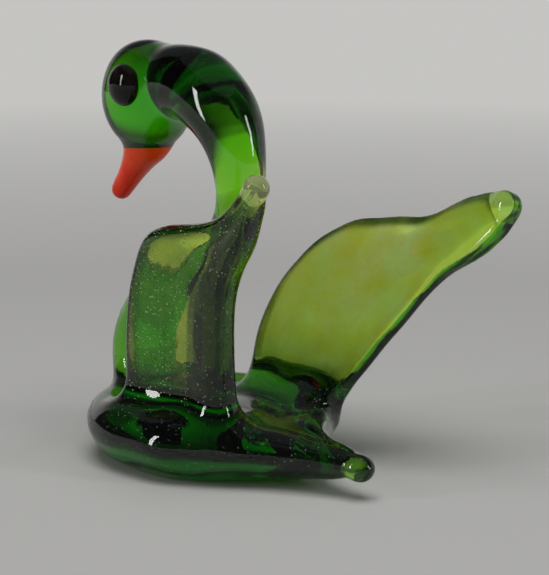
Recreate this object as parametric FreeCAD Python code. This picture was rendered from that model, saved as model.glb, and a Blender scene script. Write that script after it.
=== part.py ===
import FreeCAD, Part
import math
import os

# Flameworked glass swan, a small solid-glass figurine.
# Millimetres. +Z up, the swan faces -Y, +X is the swan's left side.
# Origin: centre of the round part of the body, on the surface the swan stands on.
# Every piece is one gather of glass; each is trimmed back to the face of the
# piece it was welded on to, so neighbours meet face to face.

# ---- driving sizes ----------------------------------------------------------
BODY_RADIUS = 11.9          # round chest end of the drop-shaped body, in plan
TAIL_REACH = 20.7           # origin to the centre of the tail bead
BODY_THICKNESS = 5.6        # underside to the top of the thick rim
BODY_CROWN = 5.3            # height of the middle of the back, between the wings
TAIL_BEAD_RADIUS = 1.2
TAIL_BEAD_HEIGHT = 2.75     # centre of the tail bead

WING_THIN = 0.95            # half thickness of a wing plate in its middle
WING_RIM = 1.15             # half thickness of the rolled rim
WING_FOOT = 2.0             # half thickness where the wing melts into the body
WING_SCALE = 1.0            # size of both wings, in their own planes
WING_SPREAD = 0.58          # side distance of the wing roots, in body radii
LEFT_LEAN = 10.0            # degrees the left wing leans out from upright
RIGHT_LEAN = 21.0
LEFT_TOE = 10.0             # degrees the wing's rear edge turns in
RIGHT_TOE = 2.0
WING_TIP_BEAD = 1.22        # radius of the ball ending each wing

NECK_SCALE = 1.0            # thickness of the whole neck rod
HEAD_WIDTH = 9.0
HEAD_LENGTH = 10.9          # crown to beak root
HEAD_CENTRE = (-10.1, 33.6)     # forward position and height
HEAD_TILT = 2.0             # degrees the lower end of the head swings back
BEAK_SCALE = 1.0            # thickness of the beak
EYE_DIAMETER = 4.0
EYE_BULGE = 0.75            # how far an eye stands off the side of the head
EYE_SEAT = 0.45             # how far the eye's centre is sunk into the head
EYE_CENTRE = (-8.6, 34.9)   # forward position and height

# ---- shapes, as stations ----------------------------------------------------
# Body outline in plan, chest to tail: (y, half width, sway to the left).
# y ahead of the origin is in body radii, y behind it in tail reaches; half
# width and sway are in body radii.
BODY_OUTLINE = [
    (-1.00, 0.00, 0.00),
    (-0.93, 0.50, 0.00),
    (-0.56, 0.88, 0.00),
    (0.00, 1.00, 0.01),
    (0.28, 0.88, 0.05),
    (0.46, 0.61, 0.10),
    (0.60, 0.35, 0.11),
    (0.74, 0.18, 0.08),
]
# The stalk that carries the tail bead: (y in tail reaches, half width in bead
# radii, sway in body radii).
TAIL_STALK = [
    (0.88, 1.0, 0.04),
    (0.98, 0.8, 0.00),
    (1.02, 0.0, 0.00),
]
# Share of the full thickness left towards the tail: (y in tail reaches, share).
BODY_TAPER = [
    (-1.00, 1.00),
    (0.36, 1.00),
    (0.60, 0.85),
    (0.80, 0.60),
    (1.00, 0.38),
    (1.10, 0.36),
]
# Section of the body from the underside, round the rolled rim, to the groove
# inside it: (share of the outline, height as a share of the body thickness).
BODY_SECTION = [
    (0.35, -0.11),
    (0.74, -0.09),
    (0.95, 0.15),
    (1.07, 0.55),
    (1.00, 0.94),
    (0.85, 1.06),
    (0.69, 0.90),
]
BACK_SHARES = (0.45, 0.20)  # shares of the outline that lie level with the crown

# Wing stations in the plane of the wing, root to tip:
# (rearward, up, half chord, tilt of the chord in degrees, foot share).
# "up" is measured along the leaning plane from the surface.
LEFT_WING = [
    (3.0, 2.6, 5.4, 0.0, 1.0),
    (2.7, 4.2, 6.6, 0.0, 1.1),
    (3.1, 6.2, 6.1, 0.0, 0.6),
    (3.4, 8.6, 5.9, 0.0, 0.1),
    (3.7, 12.0, 5.9, 0.0, 0.0),
    (4.5, 15.8, 5.7, -1.0, 0.0),
    (5.7, 19.1, 5.5, -4.0, 0.0),
    (7.3, 22.5, 5.4, -16.0, 0.0),
    (11.4, 23.3, 2.7, -18.0, 0.0),
    (13.9, 25.6, 1.2, -27.0, 0.0),
    (15.6, 28.4, 0.9, -38.0, 0.0),
]
RIGHT_WING = [
    (3.2, 2.6, 4.4, 0.0, 1.0),
    (3.0, 4.2, 5.2, 0.0, 1.1),
    (3.4, 6.2, 5.8, 0.0, 0.6),
    (3.9, 8.6, 7.2, 2.0, 0.1),
    (4.9, 12.0, 8.8, 4.0, 0.0),
    (6.6, 15.8, 9.9, 6.0, 0.0),
    (8.6, 19.4, 9.9, 2.0, 0.0),
    (12.6, 22.9, 7.9, -9.0, 0.0),
    (18.6, 23.8, 3.8, -13.0, 0.0),
    (22.1, 25.6, 1.8, -31.0, 0.0),
    (24.2, 27.2, 1.0, -40.0, 0.0),
]

# Neck centre line in the swan's middle plane. The root is measured back from
# the chest: (distance behind the chest, z, radius); the rest is (y, z, radius).
NECK_ROOT = [
    (4.4, 3.8, 1.2),
    (2.5, 4.0, 2.2),
    (0.7, 5.4, 3.0),
    (0.1, 8.8, 3.2),
    (1.9, 12.6, 3.1),
]
NECK_BEND = [
    (-5.0, 15.8, 2.9),
    (0.7, 19.0, 2.5),
    (3.7, 23.0, 2.15),
    (4.1, 27.2, 2.3),
    (3.0, 31.0, 3.1),
    (0.6, 33.6, 3.6),
    (-2.6, 35.3, 3.7),
    (-6.2, 35.3, 3.7),
    (-8.8, 34.2, 3.4),
]

# Beak centre line: (y, z, radius); the last station rounds the point off.
BEAK = [
    (-9.2, 30.2, 2.1),
    (-10.2, 29.2, 2.4),
    (-10.9, 28.3, 2.1),
    (-12.0, 27.0, 1.45),
    (-13.6, 25.2, 1.15),
    (-14.8, 23.9, 1.1),
    (-15.3, 23.3, 0.8),
]

# ---- how control points stand off the smooth surface they shape -------------
AROUND = 8                  # control points round a rod
ROD_STAND_OFF = 1.109       # for eight points round a circle
RIM_STAND_OFF = 1.15
PLATE_STAND_OFF = 1.05
CHORD_STAND_OFF = 1.04
RIM_WIDTH = 2.4             # width of a rolled rim, in its half thicknesses
NARROW_SHOULDER = 0.35      # least place of a rim's shoulder, in half chords

GROUND = 100.0              # side of the block of space below the surface


def vec(x, y, z):
    return FreeCAD.Vector(x, y, z)


def blob(rings):
    """Closed smooth solid through rings of control points; end rings are points."""
    count = len(rings[0])
    length = len(rings)
    poles = [[rings[j][i] for j in range(length)] for i in range(count)]
    around_knots = [float(i) for i in range(count + 1)]
    around_mults = [1] * (count + 1)
    along_knots = [float(i) for i in range(length - 2)]
    along_mults = [4] + [1] * (length - 4) + [4]
    surface = Part.BSplineSurface()
    surface.buildFromPolesMultsKnots(
        poles, around_mults, along_mults, around_knots, along_knots, True, False, 3, 3
    )
    solid = Part.Solid(Part.Shell([surface.toShape()]))
    if solid.Volume < 0:
        solid.reverse()
    return solid


def middle(ring):
    total = vec(0, 0, 0)
    for point in ring:
        total = total + point
    return total * (1.0 / len(ring))


def capped(rings):
    """Close a stack of rings with a rounded point at each end."""
    first = [middle(rings[0])] * len(rings[0])
    last = [middle(rings[-1])] * len(rings[-1])
    return blob([first] + rings + [last])


def rod(stations, scale):
    """Round rod bent in the middle plane, from (y, z, radius) stations."""
    rings = []
    across = vec(1, 0, 0)
    for index, (y, z, radius) in enumerate(stations):
        before = stations[max(index - 1, 0)]
        after = stations[min(index + 1, len(stations) - 1)]
        heading = vec(0, after[0] - before[0], after[1] - before[1]).normalize()
        through = heading.cross(across)
        reach = radius * scale * ROD_STAND_OFF
        ring = []
        for step in range(AROUND):
            angle = 2 * math.pi * step / AROUND
            side = across * (reach * math.cos(angle))
            ring.append(vec(0, y, z) + side + through * (reach * math.sin(angle)))
        rings.append(ring)
    return capped(rings)


def ball(centre, radius):
    return Part.makeSphere(radius, centre)


def ellipsoid(centre, radii, tilt):
    """Ellipsoid with its radii along X, Y and Z, then tilted about X by degrees."""
    matrix = FreeCAD.Matrix()
    matrix.scale(radii[0], radii[1], radii[2])
    shape = ball(vec(0, 0, 0), 1.0).transformGeometry(matrix)
    shape.rotate(vec(0, 0, 0), vec(1, 0, 0), tilt)
    shape.translate(centre)
    return shape


def taper_at(y):
    """Share of the full body thickness at a distance behind the origin."""
    for (near, near_share), (far, far_share) in zip(BODY_TAPER, BODY_TAPER[1:]):
        if y <= far * TAIL_REACH:
            part = (y / TAIL_REACH - near) / (far - near)
            return near_share + (far_share - near_share) * part
    return BODY_TAPER[-1][1]


def body_ring(share, height):
    """One level of the body: the drop outline drawn in and set at a height."""
    half_outline = [(y, half * BODY_RADIUS, sway) for y, half, sway in BODY_OUTLINE]
    half_outline += [(y, half * TAIL_BEAD_RADIUS, sway) for y, half, sway in TAIL_STALK]
    ring = []
    for side, outline in ((1, half_outline), (-1, half_outline[-2:0:-1])):
        for along, half, sway in outline:
            reach = BODY_RADIUS if along < 0 else TAIL_REACH
            x = (side * half + sway * BODY_RADIUS) * share
            y = along * reach * share
            z = TAIL_BEAD_HEIGHT + (height - TAIL_BEAD_HEIGHT) * taper_at(y)
            ring.append(vec(x, y, z))
    return ring


def make_body():
    """Drop-shaped cushion with a rolled rim, cut flat where it rests."""
    rings = [body_ring(share, level * BODY_THICKNESS) for share, level in BODY_SECTION]
    rings += [body_ring(share, BODY_CROWN) for share in BACK_SHARES]
    bottom = [vec(0, 0, BODY_SECTION[0][1] * BODY_THICKNESS)] * len(rings[0])
    top = [vec(0, 0, BODY_CROWN)] * len(rings[0])
    ground = Part.makeBox(GROUND, GROUND, GROUND, vec(-GROUND / 2, -GROUND / 2, -GROUND))
    return blob([bottom] + rings + [top]).cut(ground)


def wing_frame(side, lean, toe):
    """Origin and the rearward, upward and outward directions of a wing's plane."""
    lean = math.radians(lean)
    toe = math.radians(toe)
    rearward = vec(-side * math.sin(toe), math.cos(toe), 0)
    level_out = vec(side * math.cos(toe), math.sin(toe), 0)
    up = level_out * math.sin(lean) + vec(0, 0, math.cos(lean))
    out = level_out * math.cos(lean) - vec(0, 0, math.sin(lean))
    hinge = vec(side * WING_SPREAD * BODY_RADIUS, 0, BODY_CROWN)
    origin = hinge - up * (BODY_CROWN / math.cos(lean))
    return origin, rearward, up, out


def wing_point(frame, along, above, off):
    """Place in space of a point of a wing; only what is above the back is scaled."""
    origin, rearward, up, out = frame
    if above > BODY_CROWN:
        above = BODY_CROWN + (above - BODY_CROWN) * WING_SCALE
    return origin + rearward * (along * WING_SCALE) + up * above + out * off


def wing_section(half_chord, foot):
    """Plate with two rolled rims: (along the chord, off the plane) control points."""
    rim = WING_RIM + (WING_FOOT - WING_RIM) * foot
    thin = WING_THIN + (WING_FOOT - WING_THIN) * foot
    rim = min(rim, half_chord) * RIM_STAND_OFF
    thin = min(thin, half_chord) * PLATE_STAND_OFF
    end = half_chord * CHORD_STAND_OFF
    shoulder = max(half_chord - RIM_WIDTH * rim, half_chord * NARROW_SHOULDER)
    upper = [(end, rim), (shoulder, rim), (0, thin), (-shoulder, rim), (-end, rim)]
    lower = [(along, -off) for along, off in reversed(upper)]
    return [(end, 0)] + upper + [(-end, 0)] + lower


def make_wing(frame, stations):
    rings = []
    for along, above, half_chord, tilt, foot in stations:
        turn = math.radians(tilt)
        ring = []
        for chord, off in wing_section(half_chord, foot):
            rearward = along + chord * math.cos(turn)
            upward = above + chord * math.sin(turn)
            ring.append(wing_point(frame, rearward, upward, off))
        rings.append(ring)
    return capped(rings)


def save(name, shape):
    solids = shape.Solids
    if len(solids) != 1 or not solids[0].isValid():
        raise ValueError(name + " is not one valid solid")
    solids[0].exportStep(os.path.join("parts", name + ".step"))


os.makedirs("parts", exist_ok=True)

body = make_body()
save("body", body)

tail_bead = ball(vec(0, TAIL_REACH, TAIL_BEAD_HEIGHT), TAIL_BEAD_RADIUS)
save("tail_bead", tail_bead.cut(body))

head = ellipsoid(
    vec(0, HEAD_CENTRE[0], HEAD_CENTRE[1]),
    (HEAD_WIDTH / 2, HEAD_WIDTH / 2, HEAD_LENGTH / 2),
    HEAD_TILT,
)
save("head", head)

neck_root = [(back - BODY_RADIUS, z, radius) for back, z, radius in NECK_ROOT]
neck = rod(neck_root + NECK_BEND, NECK_SCALE).cut(body).cut(head)
save("neck", neck)

save("beak", rod(BEAK, BEAK_SCALE).cut(head))

wing_plans = (
    ("left", 1, LEFT_LEAN, LEFT_TOE, LEFT_WING),
    ("right", -1, RIGHT_LEAN, RIGHT_TOE, RIGHT_WING),
)
for name, side, lean, toe, stations in wing_plans:
    frame = wing_frame(side, lean, toe)
    wing = make_wing(frame, stations).cut(body)
    save(name + "_wing", wing)

    tip_along, tip_above = stations[-1][:2]
    bead = ball(wing_point(frame, tip_along, tip_above, 0), WING_TIP_BEAD)
    save(name + "_wing_tip_bead", bead.cut(wing))

    eye = ellipsoid(
        vec(side * (HEAD_WIDTH / 2 - EYE_SEAT), EYE_CENTRE[0], EYE_CENTRE[1]),
        (EYE_BULGE + EYE_SEAT, EYE_DIAMETER / 2, EYE_DIAMETER / 2),
        0,
    )
    save(name + "_eye", eye.cut(head).cut(neck))
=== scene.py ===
import math

import bmesh
import bpy
import numpy as np
import openvdb as vdb
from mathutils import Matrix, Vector


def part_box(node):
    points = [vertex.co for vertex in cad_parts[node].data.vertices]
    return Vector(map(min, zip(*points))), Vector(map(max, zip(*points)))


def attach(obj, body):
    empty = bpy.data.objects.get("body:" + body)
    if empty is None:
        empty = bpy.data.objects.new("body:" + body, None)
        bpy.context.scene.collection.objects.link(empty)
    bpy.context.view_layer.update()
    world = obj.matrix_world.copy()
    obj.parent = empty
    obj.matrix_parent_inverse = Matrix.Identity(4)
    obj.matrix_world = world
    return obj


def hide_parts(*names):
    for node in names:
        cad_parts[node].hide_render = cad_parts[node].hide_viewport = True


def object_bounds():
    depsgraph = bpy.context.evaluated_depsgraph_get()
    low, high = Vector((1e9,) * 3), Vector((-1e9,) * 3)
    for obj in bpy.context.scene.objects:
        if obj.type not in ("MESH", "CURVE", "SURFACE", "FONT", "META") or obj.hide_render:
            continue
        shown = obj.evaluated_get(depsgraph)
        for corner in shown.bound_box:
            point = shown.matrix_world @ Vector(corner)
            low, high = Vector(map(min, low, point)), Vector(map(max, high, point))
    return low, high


# Flameworked glass swan. The glass pieces are melted together as one smooth
# skin, then parted again at their welds, so each stays a piece of its own.
# Shapes are worked in millimetres and put in the scene in metres.

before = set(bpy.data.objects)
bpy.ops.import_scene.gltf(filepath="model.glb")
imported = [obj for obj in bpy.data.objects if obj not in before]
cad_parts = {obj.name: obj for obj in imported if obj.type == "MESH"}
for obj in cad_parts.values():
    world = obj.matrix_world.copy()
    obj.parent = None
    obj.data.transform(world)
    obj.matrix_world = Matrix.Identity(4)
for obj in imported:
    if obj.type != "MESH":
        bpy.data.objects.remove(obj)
cad_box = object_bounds()

MM = 0.001
VOXEL = 0.2             # step of the grid that the glass is melted on, in millimetres
MARGIN = 3.0            # empty space kept round the grid
BAND = 24               # grid steps that a node's distance field reaches
WELD_GAP = 0.01         # space between the two faces of a weld
SMOOTHING = 1           # passes of softening over the melted glass

# ---- camera -------------------------------------------------------------------
AZIMUTH = 140.0
ELEVATION = 10.5
DISTANCE = 0.200
TARGET = Vector((-0.0062, 0.0014, 0.0156))
LENS = 130.6


def direction(azimuth, elevation):
    a, e = math.radians(azimuth), math.radians(elevation)
    return Vector((math.sin(a) * math.cos(e), -math.cos(a) * math.cos(e), math.sin(e)))


camera = bpy.data.objects.new("camera", bpy.data.cameras.new("camera"))
camera.data.lens = LENS
camera.data.sensor_width = 36.0
camera.data.clip_start = 0.01
camera.data.clip_end = 10.0
camera.location = TARGET + direction(AZIMUTH, ELEVATION) * DISTANCE
camera.rotation_mode = "QUATERNION"
camera.rotation_quaternion = (-direction(AZIMUTH, ELEVATION)).to_track_quat("-Z", "Y")
bpy.context.collection.objects.link(camera)
bpy.context.scene.camera = camera
bpy.context.scene.view_settings.view_transform = "Standard"
bpy.context.scene.cycles.max_bounces = 24
bpy.context.scene.cycles.transmission_bounces = 24


# ---- melting the glass ----------------------------------------------------------
grid_low = np.floor((np.array(cad_box[0]) / MM - MARGIN) / VOXEL).astype(int)
grid_high = np.ceil((np.array(cad_box[1]) / MM + MARGIN) / VOXEL).astype(int)
grid_shape = tuple(grid_high - grid_low + 1)
grid_corner = tuple(int(i) for i in grid_low)


def centre_of(node):
    a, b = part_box(node)
    return (Vector(a) + Vector(b)) / 2 / MM


wing_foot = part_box("body")[1][2] / MM

SHEET_DEGREE = 3        # how freely the sheet through a wing's middle bends
SHEET_UNIT = 10.0       # distances are in these units in its fit
LEFT_ROLL = 1.2         # where the left wing's rear edge starts to thin, in from the outline
LEFT_BAND = 4.2         # and where it ends
LEFT_REAR = 1.15        # thickness of that edge, as a share of the CAD wing's
LEFT_PLATE = 0.90       # the same for the plate before it
LEFT_FOOT = 4.0         # height over which the left wing takes these shares
RIGHT_PLATE = 0.62      # share of the CAD thickness for the right wing, low down
RIGHT_TIP = 0.45        # and near its tip
RIGHT_FOOT = 3.0        # height over which it takes its share
RIGHT_THIN = (4.0, 2.0)     # it thins from this far above the foot to this far below the top


def rise(value, low, high):
    """Smooth step from 0 at `low` to 1 at `high`."""
    t = np.clip((value - low) / (high - low), 0, 1)
    return t * t * (3 - 2 * t)


def middle_of(points):
    """Distance of each point from a smooth sheet through a plate's middle, and its normal."""
    spread = points - points.mean(0)
    ways = np.linalg.svd(spread, full_matrices=False)[2]
    u, v, off = (spread @ ways.T).T
    u, v = u / SHEET_UNIT, v / SHEET_UNIT
    powers = range(SHEET_DEGREE + 1)
    terms = np.stack([u**i * v**j for i in powers for j in powers if i + j <= SHEET_DEGREE], axis=1)
    sheet = terms @ np.linalg.lstsq(terms, off, rcond=None)[0]
    return off - sheet, ways[2]


def in_plate(normal):
    """Level direction within a plate, towards its rear."""
    along = np.cross(normal, (0, 0, 1))
    return along * np.sign(along[1]) / np.linalg.norm(along)


def from_edge(level, reach):
    """How far each point lies inside the plate's outline, where `reach` is greatest at a level."""
    lowest = level.min()
    row = (level - lowest).astype(int)
    edge = np.full(row.max() + 1, -np.inf)
    np.maximum.at(edge, row, reach)
    return np.interp(level, lowest + 0.5 + np.arange(len(edge)), edge) - reach


def from_rear(points, normal):
    return from_edge(points[:, 2], points @ in_plate(normal))


def from_top(points, normal):
    """Distance from the top and front outline, taken square to the slant between them."""
    along = points @ in_plate(normal)
    down, back = from_edge(along, points[:, 2]), from_edge(points[:, 2], -along)
    down, back = np.maximum(down, 0.01), np.maximum(back, 0.01)
    return down * back / np.hypot(down, back)


def left_wing_shape(points):
    """The front wing has a thick rolled rear edge and a thinner plate before it."""
    off, way = middle_of(points)
    rear = 1 - rise(from_rear(points, way), LEFT_ROLL, LEFT_BAND)
    up = rise(points[:, 2], wing_foot, wing_foot + LEFT_FOOT)
    share = 1 + up * (rear * (LEFT_REAR - 1) + (1 - rear) * (LEFT_PLATE - 1))
    return points + np.outer(off * (share - 1), way)


def right_wing_shape(points):
    """The far wing is a thin plate that gets thinner towards its tip."""
    off, way = middle_of(points)
    up = rise(points[:, 2], wing_foot, wing_foot + RIGHT_FOOT)
    tip = rise(points[:, 2], wing_foot + RIGHT_THIN[0], points[:, 2].max() - RIGHT_THIN[1])
    share = 1 + up * (RIGHT_PLATE + tip * (RIGHT_TIP - RIGHT_PLATE) - 1)
    return points + np.outer(off * (share - 1), way)


SHAPES = {"left_wing": left_wing_shape, "right_wing": right_wing_shape}


def node_points(node):
    mesh = bpy.data.objects[node].data
    points = np.empty(len(mesh.vertices) * 3, np.float32)
    mesh.vertices.foreach_get("co", points)
    return points.reshape(-1, 3).astype(float) / MM


def distance_to(node):
    """Signed distance, in millimetres, from each grid point to a CAD node."""
    points = node_points(node)
    if node in SHAPES:
        points = SHAPES[node](points)
    mesh = bpy.data.objects[node].data
    mesh.calc_loop_triangles()
    corners = np.empty(len(mesh.loop_triangles) * 3, np.int32)
    mesh.loop_triangles.foreach_get("vertices", corners)
    grid = vdb.FloatGrid.createLevelSetFromPolygons(
        points.astype(np.float32),
        triangles=corners.reshape(-1, 3).astype(np.uint32),
        transform=vdb.createLinearTransform(VOXEL),
        halfWidth=BAND,
    )
    field = np.empty(grid_shape, np.float32)
    grid.copyToArray(field, ijk=grid_corner)
    return field


def melt(a, b, reach):
    """Union of two fields with a fillet that starts `reach` from the joint."""
    near = np.clip(1 - np.abs(a - b) / reach, 0, None)
    return np.minimum(a, b) - near * near * (reach / 4)


def softened(field):
    for axis in range(3):
        inner = [slice(None)] * 3
        before, after = list(inner), list(inner)
        inner[axis], before[axis], after[axis] = slice(1, -1), slice(0, -2), slice(2, None)
        new = field.copy()
        new[tuple(inner)] = (
            field[tuple(before)] + 2 * field[tuple(inner)] + field[tuple(after)]
        ) / 4
        field = new
    return field


axes = [(grid_low[i] + np.arange(grid_shape[i])) * VOXEL for i in range(3)]
X, Y, Z = np.meshgrid(*[a.astype(np.float32) for a in axes], indexing="ij", sparse=True)


def paddle(centre, normal, radius, half_thickness):
    """Distance from a round flat blob of glass that lies in a plate."""
    off = [axis - c for axis, c in zip((X, Y, Z), centre)]
    out = sum(o * n for o, n in zip(off, normal))
    square = sum(o * o for o in off)
    within = np.maximum(square - out * out, 0)
    size = np.sqrt(within / radius**2 + out * out / half_thickness**2)
    slope = np.sqrt(within / radius**4 + out * out / half_thickness**4)
    return (size * (size - 1) / np.maximum(slope, 1e-3)).astype(np.float32)


def seated(place, points, way):
    """`place` moved square to a plate until it is in the middle of its glass."""
    off = (points - place) @ way
    beside = np.linalg.norm(points - place - np.outer(off, way), axis=1)
    return place + way * np.average(off, weights=np.exp(-((beside / SEAT_SPREAD) ** 2)))


def ripple(wave, seed):
    """Smooth uneven field about -1 to 1, from a few crossing sine waves."""
    rng = np.random.default_rng(seed)
    total = np.zeros(grid_shape, np.float32)
    for _ in range(RIPPLE_WAVES):
        way = rng.normal(size=3)
        way *= 2 * math.pi / wave / np.linalg.norm(way) * rng.uniform(0.7, 1.3)
        phase = rng.uniform(0, 2 * math.pi)
        total += np.sin(X * way[0] + Y * way[1] + Z * way[2] + phase).astype(np.float32)
    return total / (RIPPLE_WAVES / 2)


# How far from the joint each piece's fillet starts, in the order of melting.
MELTS = (("left_wing", 3.0), ("right_wing", 2.2), ("neck", 3.4), ("head", 1.6))
SMALL_MELTS = (
    ("tail_bead", 0.9),
    ("left_wing_tip_bead", 0.6),
    ("right_wing_tip_bead", 0.9),
    ("beak", 0.8),
)
# The right wing's end is a broad round paddle, and its bead sits in the end of it.
# Each blob: along and up the plate from the bead's middle, radius, half thickness.
END = (
    (-5.0, -3.75, 2.75, 0.34),
    (-3.5, -2.70, 2.40, 0.38),
    (-2.0, -1.65, 2.00, 0.46),
    (-0.9, -0.85, 1.70, 0.62),
)
END_MELT = 1.2
SEAT_SPREAD = 1.2       # how wide a patch of plate each blob is seated by
RIPPLE_WAVES = 6
RIPPLE = (6.0, 3)       # the hand-worked unevenness: length of its waves, and seed
RIPPLE_DEPTH = 0.06

glass = distance_to("body")
for node, reach in MELTS:
    glass = melt(glass, distance_to(node), reach)

plate_points = right_wing_shape(node_points("right_wing"))
plate = middle_of(plate_points)[1]
level = in_plate(plate)
steep = np.cross(plate, level)
steep *= np.sign(steep[2])
for along, up, radius, half in END:
    middle = np.array(centre_of("right_wing_tip_bead")) + level * along + steep * up
    middle = seated(middle, plate_points, plate)
    glass = melt(glass, paddle(middle, plate, radius, half), END_MELT)

for node, reach in SMALL_MELTS:
    glass = melt(glass, distance_to(node), reach)
for _ in range(SMOOTHING):
    glass = softened(glass)
glass = glass + RIPPLE_DEPTH * ripple(*RIPPLE)
# The resting face stays flat on the floor.
glass = np.maximum(glass, -Z * np.ones(grid_shape, np.float32))

grid = vdb.FloatGrid(BAND * VOXEL)
grid.gridClass = vdb.GridClass.LEVEL_SET
grid.transform = vdb.createLinearTransform(VOXEL)
grid.copyFromArray(glass, ijk=grid_corner)
points, triangles, quads = grid.convertToPolygons(isovalue=0.0, adaptivity=0.0)

skin = bpy.data.meshes.new("skin")
faces = quads.tolist() + triangles.tolist()
skin.from_pydata(points.tolist(), [], [face[::-1] for face in faces])
skin.validate()

# ---- parting the skin at its welds -------------------------------------------------
head_low, head_high = (Vector(corner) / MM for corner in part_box("head"))
neck_high = Vector(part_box("neck")[1]) / MM

BODY_WELD = (1.6, 60.0)     # above the body's top, and how far the cut reaches
NECK_WELD = (0.9, -4.25, 5.6)   # behind and below the head's back and top, and reach
NECK_WELD_TILT = 0.06
BEAK_WELD = (1.6, 0.45, 4.2)    # behind the beak's middle, above the head's foot, reach
BEAK_WELD_TILT = 0.05
BEAD_WELD = 0.95            # from a tip bead's middle towards its wing
LEFT_BEAD_REACH, RIGHT_BEAD_REACH = 2.2, 3.2
TAIL_WELD = (-0.9, 2.4)     # from the tail bead's middle, and reach


def bead_weld(bead, wing, off):
    """Weld plane of a tip bead: it faces from the wing's middle to the bead."""
    at = centre_of(bead)
    way = (at - centre_of(wing)).normalized()
    return at - way * off, way


bm = bmesh.new()
bm.from_mesh(skin)
bpy.data.meshes.remove(skin)


def part(centre, way, reach):
    """Cut the skin by a plane, only within reach of the centre, and open the cut."""
    near = [f for f in bm.faces if (f.calc_center_median() - centre).length < reach]
    edges = {e for f in near for e in f.edges}
    verts = {v for f in near for v in f.verts}
    cut = bmesh.ops.bisect_plane(
        bm, geom=[*near, *edges, *verts], dist=1e-4, plane_co=centre, plane_no=way
    )
    seam = [e for e in cut["geom_cut"] if isinstance(e, bmesh.types.BMEdge)]
    bmesh.ops.split_edges(bm, edges=seam)


welds = [
    (Vector((0, 0, wing_foot + BODY_WELD[0])), Vector((0, 0, 1)), BODY_WELD[1]),
    (
        Vector((0, head_high.y + NECK_WELD[0], head_high.z + NECK_WELD[1])),
        Vector((0, -1, NECK_WELD_TILT)).normalized(),
        NECK_WELD[2],
    ),
    (
        Vector((0, centre_of("beak").y + BEAK_WELD[0], head_low.z + BEAK_WELD[1])),
        Vector((0, BEAK_WELD_TILT, -1)).normalized(),
        BEAK_WELD[2],
    ),
    (*bead_weld("left_wing_tip_bead", "left_wing", BEAD_WELD), LEFT_BEAD_REACH),
    (*bead_weld("right_wing_tip_bead", "right_wing", BEAD_WELD), RIGHT_BEAD_REACH),
    (centre_of("tail_bead") + Vector((0, TAIL_WELD[0], 0)), Vector((0, 1, 0)), TAIL_WELD[1]),
]
for centre, way, reach in welds:
    part(centre, way, reach)


# ---- materials ---------------------------------------------------------------------
class Tree:
    """A material's nodes, made and linked in one call each."""

    def __init__(self, name):
        self.material = bpy.data.materials.new(name)
        self.material.use_nodes = True
        self.nodes = self.material.node_tree.nodes
        self.nodes.clear()
        self.output = self.add("OutputMaterial")

    def add(self, kind, inputs=None, **settings):
        node = self.nodes.new("ShaderNode" + kind)
        for key, value in settings.items():
            setattr(node, key, value)
        for key, value in (inputs or {}).items():
            if isinstance(value, bpy.types.NodeSocket):
                self.material.node_tree.links.new(value, node.inputs[key])
            else:
                node.inputs[key].default_value = value
        return node

    def link(self, source, node, socket):
        self.material.node_tree.links.new(source, node.inputs[socket])

    def noise(self, scale, detail=2.0, stretch=(1, 1, 1), roughness=0.5):
        """Noise with `scale` waves a metre in object space."""
        place = self.add("TexCoord").outputs["Object"]
        place = self.add("Mapping", {"Vector": place, "Scale": stretch}).outputs[0]
        return self.add(
            "TexNoise",
            {"Vector": place, "Scale": scale, "Detail": detail, "Roughness": roughness},
        ).outputs["Fac"]

    def ramp(self, factor, low, high, from_low=0.35, from_high=0.65):
        """`factor` between its two ends, laid on low to high; each may be a socket."""
        ends = {"From Min": from_low, "From Max": from_high, "To Min": low, "To Max": high}
        return self.add("MapRange", {"Value": factor, **ends}).outputs[0]

    def math(self, operation, *values):
        """One sum on numbers, each of which may be a socket."""
        return self.add("Math", dict(enumerate(values)), operation=operation).outputs[0]

    def blend(self, factor, a, b):
        """Mix of two colours, each a socket or red, green and blue."""
        node = self.add("Mix", data_type="RGBA")
        self.link(factor, node, 0)
        for socket, colour in ((6, a), (7, b)):
            if isinstance(colour, bpy.types.NodeSocket):
                self.link(colour, node, socket)
            else:
                node.inputs[socket].default_value = (*colour, 1)
        return node.outputs[2]


class WorldTree(Tree):
    """The same for the nodes of a world."""

    def __init__(self, world):
        self.material = world
        self.nodes = world.node_tree.nodes
        self.nodes.clear()
        self.output = self.add("OutputWorld")


# The share of red, green and blue that the glass lets through.
GREEN = (0.653, 0.910, 0.028)
SPECK = (0.62, 0.66, 0.52)      # colour of the dust
WISPS = (420.0, 4.0)            # waves a metre and detail of the worked-in streaks
CLOUDS = (260.0, 3.0)           # the same for the patches that vary dust and shade
WISP_ROUGHNESS, CLOUD_ROUGHNESS = 0.62, 0.55
CELLS = 2500.0                  # cells a metre, each with one dust speck at most
DUSTY_CLOUDS = (0.50, 0.78)     # dust fades out over this range of the clouds
SHADE_SPREAD = (0.75, 1.15)     # how much the clouds vary the painted shade
GLOSS, DULL = 0.015, 0.5        # roughness of clean glass and of dust
DUST_BLOCKS = -0.6              # how much light a speck takes from what passes through
STREAK_DEPTH = 0.00025
NEUTRAL = (0.5, 0.5, 0.5)


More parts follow.
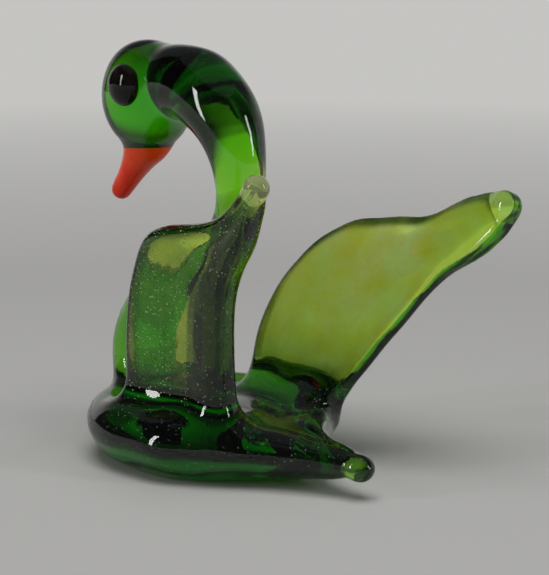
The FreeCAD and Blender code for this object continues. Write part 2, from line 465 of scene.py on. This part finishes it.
def glass_material(
    name, density, tints, painted_shade_colour, streak=(1.0, 0.5, 0.28), swirl=0.2, clear=0.985, dust=0.5, grit=0.11
):
    """Clear coloured glass: its depth colours it, worked-in swirls and dust mark it, and painted shade
    darkens it in places.

    `tints` are the colours of the swirls. The colour given after them is painted shade, laid on where
    the shade attribute is 1, in place of the dark surroundings that the glass bends and mirrors. A
    weld face neither bends, reflects nor tints light, since the glass goes on behind it."""
    tree = Tree(name)
    weld = tree.add("Attribute", attribute_name="weld").outputs["Fac"]
    painted_shade = tree.add("Attribute", attribute_name="painted_shade").outputs["Fac"]
    wisps = tree.noise(*WISPS, streak, WISP_ROUGHNESS)
    cloud = tree.noise(*CLOUDS, (1, 1, 1), CLOUD_ROUGHNESS)
    place = tree.add("TexCoord").outputs["Object"]
    cells = tree.add("TexVoronoi", {"Vector": place, "Scale": CELLS}).outputs["Distance"]
    speck = tree.ramp(cells, tree.ramp(cloud, dust, 0.0, *DUSTY_CLOUDS), 0.0, grit / 2, grit)
    colour = tree.blend(tree.ramp(wisps, 0, 1), *tints)
    # Painted shade: the colour goes towards the painted shade colour where the shade attribute is
    # high, patchy with the clouds.
    patchy_painted_shade = tree.math("MULTIPLY", painted_shade, tree.ramp(cloud, *SHADE_SPREAD, 0.3, 0.7))
    colour = tree.blend(patchy_painted_shade, colour, painted_shade_colour)
    colour = tree.blend(speck, colour, SPECK)
    colour = tree.blend(weld, colour, (1, 1, 1))
    rough = tree.ramp(tree.math("SUBTRACT", speck, weld), GLOSS, DULL, 0, 1)
    passes = tree.math("MULTIPLY_ADD", speck, DUST_BLOCKS, clear)
    bump = {"Strength": swirl, "Distance": STREAK_DEPTH, "Height": wisps}
    shader = tree.add(
        "BsdfPrincipled",
        {
            "Base Color": colour,
            "Roughness": tree.ramp(weld, rough, 0.0, 0.0, 1.0),
            "IOR": tree.ramp(weld, 1.5, 1.0, 0.0, 1.0),
            "Transmission Weight": tree.ramp(weld, passes, 1.0, 0.0, 1.0),
            "Normal": tree.add("Bump", bump).outputs[0],
        },
    )
    # The values under the links are plain glass: full transmission and an IOR of 1.5.
    # The values under the links are what a reader that drops the links shows.
    shader.inputs["Transmission Weight"].default_value = 1.0
    shader.inputs["IOR"].default_value = 1.5
    tree.link(shader.outputs[0], tree.output, "Surface")
    volume = tree.add("VolumeAbsorption", {"Color": (*GREEN, 1), "Density": density})
    tree.link(volume.outputs[0], tree.output, "Volume")
    return tree.material


# For each glass: absorption density, swirl tints, then its painted shade colour.
body_glass = glass_material(
    "body_glass",
    940.0,
    ((0.52, 0.72, 0.58), (0.88, 1.0, 0.86)),
    (0.25, 0.34, 0.26),
    clear=0.996,
    dust=0.8,
    grit=0.13,
)
neck_glass = glass_material(
    "neck_glass",
    1020.0,
    ((0.90, 1.0, 0.80), (1, 1, 1)),
    (0.11, 0.042, 0.10),
    swirl=0.10,
    clear=0.994,
)
left_wing_glass = glass_material(
    "left_wing_glass",
    840.0,
    ((0.58, 0.52, 0.30), (1.0, 0.80, 0.44)),
    (0.05, 0.06, 0.05),
    (1.0, 0.5, 0.35),
    swirl=0.3,
    clear=0.995,
    dust=1.0,
    grit=0.22,
)
right_wing_glass = glass_material(
    "right_wing_glass",
    860.0,
    ((1.0, 0.86, 0.24), (0.96, 1.0, 0.74)),
    (0.06, 0.10, 0.04),
    (0.9, 0.6, 0.9),
    swirl=0.2,
    clear=0.995,
    dust=0.4,
)
bead_glass = glass_material(
    "bead_glass", 700.0, ((0.93, 1.0, 0.80), (1, 1, 0.9)), NEUTRAL, dust=0.2
)
seedy_glass = glass_material(
    "seedy_glass", 200.0, ((0.80, 1.0, 0.38), (1, 1, 0.5)), NEUTRAL, clear=0.76
)

tree = Tree("orange_glass")
streaks = tree.noise(700.0, 3.0, (1.0, 0.6, 0.3))
place = tree.add("TexCoord").outputs["Object"]
height = tree.add("SeparateXYZ", {"Vector": place}).outputs["Z"]
beak_low, beak_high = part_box("beak")
down = tree.ramp(height, 1.0, 0.0, beak_low[2], beak_high[2])
mixed = tree.math("ADD", down, tree.ramp(streaks, -0.25, 0.25))
colour = tree.blend(mixed, (0.95, 0.080, 0.012), (0.68, 0.022, 0.008))
bump = tree.add("Bump", {"Strength": 0.2, "Distance": 0.0002, "Height": streaks})
shader = tree.add(
    "BsdfPrincipled",
    {
        "Base Color": colour,
        "Roughness": tree.ramp(streaks, 0.08, 0.2),
        "IOR": 1.5,
        "Subsurface Weight": 0.15,
        "Specular IOR Level": 0.15,
        "Subsurface Radius": (1.0, 0.25, 0.1),
        "Subsurface Scale": 0.0012,
        "Coat Weight": 0.05,
        "Coat Roughness": 0.03,
        "Normal": bump.outputs[0],
    },
)
tree.link(shader.outputs[0], tree.output, "Surface")
orange_glass = tree.material

tree = Tree("black_glass")
cloud = tree.noise(900.0, 3.0)
bump = tree.add("Bump", {"Strength": 0.12, "Distance": 0.0002, "Height": cloud})
shader = tree.add(
    "BsdfPrincipled",
    {
        "Base Color": tree.blend(tree.ramp(cloud, 0, 1), (0.003, 0.003, 0.003), (0.010, 0.008, 0.006)),
        "Roughness": tree.ramp(cloud, 0.03, 0.10),
        "IOR": 1.52,
        "Specular IOR Level": 0.25,
        "Normal": bump.outputs[0],
    },
)
tree.link(shader.outputs[0], tree.output, "Surface")
black_glass = tree.material


# ---- glass pieces ------------------------------------------------------------------
slope = np.gradient(glass, VOXEL)


def normals_at(places):
    """Outward directions of the melted skin, from the slope of its field."""
    spot = places / VOXEL - grid_low
    base = np.clip(np.floor(spot).astype(int), 0, np.array(grid_shape) - 2)
    part_way = spot - base
    total = np.zeros((len(places), 3))
    for corner in range(8):
        step = np.array([corner & 1, corner >> 1 & 1, corner >> 2 & 1])
        weight = np.prod(np.where(step, part_way, 1 - part_way), axis=1)
        at = tuple((base + step).T)
        for axis in range(3):
            total[:, axis] += weight * slope[axis][at]
    return total / np.maximum(np.linalg.norm(total, axis=1, keepdims=True), 1e-9)


def loose_parts():
    """The skin's vertices, one list for each part that the cuts left."""
    bm.verts.index_update()
    seen = [False] * len(bm.verts)
    parts = []
    for first in bm.verts:
        if seen[first.index]:
            continue
        seen[first.index] = True
        found, todo = [first], [first]
        while todo:
            for edge in todo.pop().link_edges:
                for v in edge.verts:
                    if not seen[v.index]:
                        seen[v.index] = True
                        found.append(v)
                        todo.append(v)
        parts.append(found)
    return parts


# The nape's painted shade, a dark blotch, from the head's back and top: its front, its bend and its
# back.
NAPE_FRONT, NAPE_BEND, NAPE_BACK = 0.5, -3.65, 5.3
NAPE_CURVE = 0.17           # how fast its front curves back below the bend
NAPE_LEAN, NAPE_LEAN_TOP = 0.93, 3.0    # how its back leans, and up to where
CROWN = (0.85, 1.4, 1.0)    # painted shade of the crown, and its range: above the head's middle, below its top
PALE_TOP = (-3.06, -7.5)    # where the pale stretch below the painted shade begins, from the neck's back and top
ROD_WAY = (-0.35, 0.94)     # the neck's direction there, along Y and Z
NECK_DARK = 0.72            # painted shade above the pale stretch
LEFT_RIM = (0.7, 1.3)       # distances from the outline over which the left wing's painted rim shade ends
LEFT_FOOT_END = (1.6, 3.0)  # heights above the body over which its painted shade at the foot ends
LEFT_CLEAR = (3.2, 0.6)     # how far below its top the painted shade starts to clear from the tip, and is gone
RIM_DARK = 0.9              # painted shade of that rim and foot
RIGHT_RIM = (0.5, 1.2)      # the same distances for the right wing's painted rim shade
RIGHT_LOW = ((0.50, 1.0, 8.0), (0.16, 4.0, 18.0))   # painted shade towards the foot, and heights over which it ends


def nape_painted_shade(points):
    """Painted shade: a dark blotch round the weld of the neck to the head, between two curved lines.
    """
    y, z = points[:, 1] - head_high.y, points[:, 2] - head_high.z
    front = NAPE_FRONT + NAPE_CURVE * np.clip(NAPE_BEND - z, 0, None) ** 2
    back = NAPE_BACK + NAPE_LEAN * np.minimum(z - NAPE_BEND, NAPE_LEAN_TOP)
    return rise(y - front, -0.3, 0.3) * (1 - rise(y - back, -0.8, 0.8))


def head_painted_shade(points):
    """Painted shade: darker in the crown, and darkest at the nape."""
    painted_shade, above, below = CROWN
    crown = painted_shade * rise(points[:, 2], centre_of("head").z + above, head_high.z - below)
    return np.maximum(crown, nape_painted_shade(points))


def neck_painted_shade(points):
    """Painted shade down to a pale stretch that ends square to the rod, darkest at the nape."""
    y, z = points[:, 1] - neck_high.y, points[:, 2] - neck_high.z
    up_rod = (z - PALE_TOP[1]) * ROD_WAY[1] + (y - PALE_TOP[0]) * ROD_WAY[0]
    return np.maximum(NECK_DARK * rise(up_rod, -0.2, 0.2), nape_painted_shade(points))


def left_wing_painted_shade(points):
    """Painted shade in the thick rear edge, the rim and the foot; the tip stays clear of it."""
    way, z = middle_of(points)[1], points[:, 2]
    rim = 1 - rise(from_top(points, way), *LEFT_RIM)
    rear = 1 - rise(from_rear(points, way), LEFT_BAND - 0.2, LEFT_BAND + 0.2)
    foot = 1 - rise(z, wing_foot + LEFT_FOOT_END[0], wing_foot + LEFT_FOOT_END[1])
    tip = rise(z, z.max() - LEFT_CLEAR[0], z.max() - LEFT_CLEAR[1])
    return np.maximum(np.maximum(rear, RIM_DARK * rim), RIM_DARK * foot) * (1 - tip)


def right_wing_painted_shade(points):
    """Painted shade that darkens the glass towards the foot and along the rim."""
    dark = sum(
        painted_shade * (1 - rise(points[:, 2], wing_foot + start, wing_foot + end))
        for painted_shade, start, end in RIGHT_LOW
    )
    rim = 1 - rise(from_top(points, middle_of(points)[1]), *RIGHT_RIM)
    return np.maximum(dark, rim)


def full_painted_shade(points):
    """Painted shade, the same all over."""
    return np.ones(len(points))


# Painted shade for each piece: where it is 1 the colour goes fully to the painted shade colour.
PAINTED_SHADES = {
    "head": head_painted_shade,
    "neck": neck_painted_shade,
    "left_wing": left_wing_painted_shade,
    "right_wing": right_wing_painted_shade,
    "tail_bead": full_painted_shade,
}


def make_piece(name, verts, material, painted_shade):
    """One part of the skin as an object of its own, closed by a flat face at each weld."""
    piece = bmesh.new()
    weld = piece.faces.layers.float.new("weld")
    index = {v: i for i, v in enumerate(verts)}
    for v in verts:
        piece.verts.new(v.co)
    piece.verts.ensure_lookup_table()
    for face in {f for v in verts for f in v.link_faces}:
        piece.faces.new([piece.verts[index[v]] for v in face.verts]).smooth = True
    open_edges = [e for e in piece.edges if e.is_boundary]
    caps = bmesh.ops.holes_fill(piece, edges=open_edges, sides=0)["faces"]
    bmesh.ops.recalc_face_normals(piece, faces=piece.faces)
    for cap in caps:
        cap.smooth = False
        cap[weld] = 1.0
        back = cap.normal * (-WELD_GAP / 2)
        for v in cap.verts:
            v.co += back
    bmesh.ops.triangulate(piece, faces=caps)
    mesh = bpy.data.meshes.new(name)
    piece.to_mesh(mesh)
    piece.free()
    points = np.empty(len(mesh.vertices) * 3)
    mesh.vertices.foreach_get("co", points)
    places = points.reshape(-1, 3)
    skin_normals = normals_at(places)
    # Painted shade is kept on the vertices, where the material reads it.
    if painted_shade:
        values = painted_shade(places).astype(np.float32)
        mesh.attributes.new("painted_shade", "FLOAT", "POINT").data.foreach_set("value", values)
    normals = np.empty((len(mesh.loops), 3))
    for face, mark in zip(mesh.polygons, mesh.attributes["weld"].data):
        for loop in face.loop_indices:
            on_skin = skin_normals[mesh.loops[loop].vertex_index]
            normals[loop] = face.normal if mark.value else on_skin
    mesh.vertices.foreach_set("co", points * MM)
    mesh.normals_split_custom_set(normals.tolist())
    mesh.materials.append(material)
    mesh.update()
    made = bpy.data.objects.new(name, mesh)
    bpy.context.collection.objects.link(made)
    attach(made, "root")
    return made


PIECES = {
    "body": body_glass,
    "tail_bead": body_glass,
    "neck": neck_glass,
    "head": neck_glass,
    "beak": orange_glass,
    "left_wing": left_wing_glass,
    "left_wing_tip_bead": seedy_glass,
    "right_wing": right_wing_glass,
    "right_wing_tip_bead": bead_glass,
}
parts = loose_parts()
if len(parts) != len(PIECES):
    raise RuntimeError(f"the welds left {len(parts)} parts of glass, not {len(PIECES)}")
left = dict(PIECES)
for verts in sorted(parts, key=len):
    middle = sum((v.co for v in verts), Vector()) / len(verts)
    node = min(left, key=lambda n: (centre_of(n) - middle).length)
    piece = make_piece("glass_" + node, verts, left.pop(node), PAINTED_SHADES.get(node))
    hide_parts(node)
bm.free()

for node in ("left_eye", "right_eye"):
    eye = bpy.data.objects[node]
    for slot in eye.material_slots:
        slot.material = black_glass
    if not eye.material_slots:
        eye.data.materials.append(black_glass)


# ---- stage -------------------------------------------------------------------------
NEAR_TONE = (0.41, 0.405, 0.395)
FAR_TONE = (0.56, 0.555, 0.54)
FLOOR_RADIUS = 1.3
HAZE = (0.10, 0.36)         # distances over which the floor pales into the background
WALL_TOP = (0.24, 0.52)     # height on the sky, as a sine, over which the pale wall ends
CEILING = (0.10, 0.105, 0.11)
AMBIENT = 0.35              # the world's strength for what isn't seen but only lights
# Each soft box: name, azimuth, elevation, distance, size, power, and if reflections show it.
LAMPS = (
    ("key", 71.0, 18.5, 0.50, (0.06, 0.30), 0.75, True),
    ("fill", 208.0, 20.0, 0.50, (0.05, 0.30), 0.55, True),
    ("overhead", 140.0, 78.0, 0.60, (0.50, 0.50), 3.4, False),
)
FLAG_RADIUS, FLAG_LOW, FLAG_HIGH = 0.75, 0.01, 1.3
FLAG_MIDDLE, FLAG_SPREAD, FLAG_STEPS = 122.0, 115.0, 32

stage_mesh = bpy.data.meshes.new("stage")
bm = bmesh.new()
bmesh.ops.create_circle(bm, cap_ends=True, radius=FLOOR_RADIUS, segments=96)
bm.to_mesh(stage_mesh)
bm.free()
floor = bpy.data.objects.new("stage", stage_mesh)
bpy.context.collection.objects.link(floor)


def seen_rays(tree):
    """1 for rays that show the background: straight, in a reflection or through glass."""
    path = tree.add("LightPath").outputs
    both = tree.math("MAXIMUM", path["Is Camera Ray"], path["Is Glossy Ray"])
    return tree.math("MAXIMUM", both, path["Is Transmission Ray"])


tree = Tree("stage")
place = tree.add("TexCoord").outputs["Object"]
out = tree.add("VectorMath", {0: place}, operation="LENGTH").outputs["Value"]
far = tree.ramp(out, 0, 1, *HAZE)
tone = tree.blend(far, NEAR_TONE, FAR_TONE)
grain = tree.noise(900.0, 4.0)
shader = tree.add(
    "BsdfPrincipled",
    {"Base Color": tone, "Roughness": tree.ramp(grain, 0.6, 0.7), "Specular IOR Level": 0.0},
)
glow = tree.add("Emission", {"Color": (*FAR_TONE, 1), "Strength": 1.0})
lit = tree.math("MULTIPLY", far, seen_rays(tree))
mixed = tree.add("MixShader", {0: lit, 1: shader.outputs[0], 2: glow.outputs[0]})
tree.link(mixed.outputs[0], tree.output, "Surface")
stage_mesh.materials.append(tree.material)

world = bpy.data.worlds.new("world")
bpy.context.scene.world = world
world.use_nodes = True

tree = WorldTree(world)
place = tree.add("TexCoord").outputs["Generated"]
height = tree.add("SeparateXYZ", {"Vector": place}).outputs["Z"]
sky = tree.add(
    "Background",
    {
        "Color": tree.blend(tree.ramp(height, 0, 1, *WALL_TOP), FAR_TONE, CEILING),
        "Strength": tree.ramp(seen_rays(tree), AMBIENT, 1.0, 0.0, 1.0),
    },
)
tree.link(sky.outputs[0], tree.output, "Surface")


def soft_box(name, azimuth, elevation, distance, size, power, glossy):
    """A rectangular lamp that faces the swan."""
    data = bpy.data.lights.new(name, "AREA")
    data.shape = "RECTANGLE"
    data.size, data.size_y = size
    data.energy = power
    light = bpy.data.objects.new(name, data)
    light.location = TARGET + direction(azimuth, elevation) * distance
    light.rotation_mode = "QUATERNION"
    light.rotation_quaternion = direction(azimuth, elevation).to_track_quat("Z", "Y")
    light.visible_transmission = False
    light.visible_glossy = glossy
    bpy.context.collection.objects.link(light)


for lamp in LAMPS:
    soft_box(*lamp)

# A dark flag stands beyond the lamps, so that the glass mirrors it and keeps its depth.
# Nothing but reflections sees it.
flag_mesh = bpy.data.meshes.new("flag")
bm = bmesh.new()
posts = []
for i in range(FLAG_STEPS + 1):
    way = direction(FLAG_MIDDLE + FLAG_SPREAD * (2 * i / FLAG_STEPS - 1), 0) * FLAG_RADIUS
    posts.append([bm.verts.new((way.x, way.y, z)) for z in (FLAG_LOW, FLAG_HIGH)])
for a, b in zip(posts, posts[1:]):
    bm.faces.new((a[0], b[0], b[1], a[1]))
bm.to_mesh(flag_mesh)
bm.free()
flag = bpy.data.objects.new("flag", flag_mesh)
bpy.context.collection.objects.link(flag)
flag.visible_camera = flag.visible_diffuse = flag.visible_transmission = False
flag.visible_shadow = flag.visible_volume_scatter = False
tree = Tree("flag")
felt = tree.blend(tree.noise(300.0), (0.016, 0.016, 0.017), (0.028, 0.028, 0.028))
shader = tree.add("BsdfPrincipled", {"Base Color": felt, "Roughness": 0.9})
tree.link(shader.outputs[0], tree.output, "Surface")
flag_mesh.materials.append(tree.material)
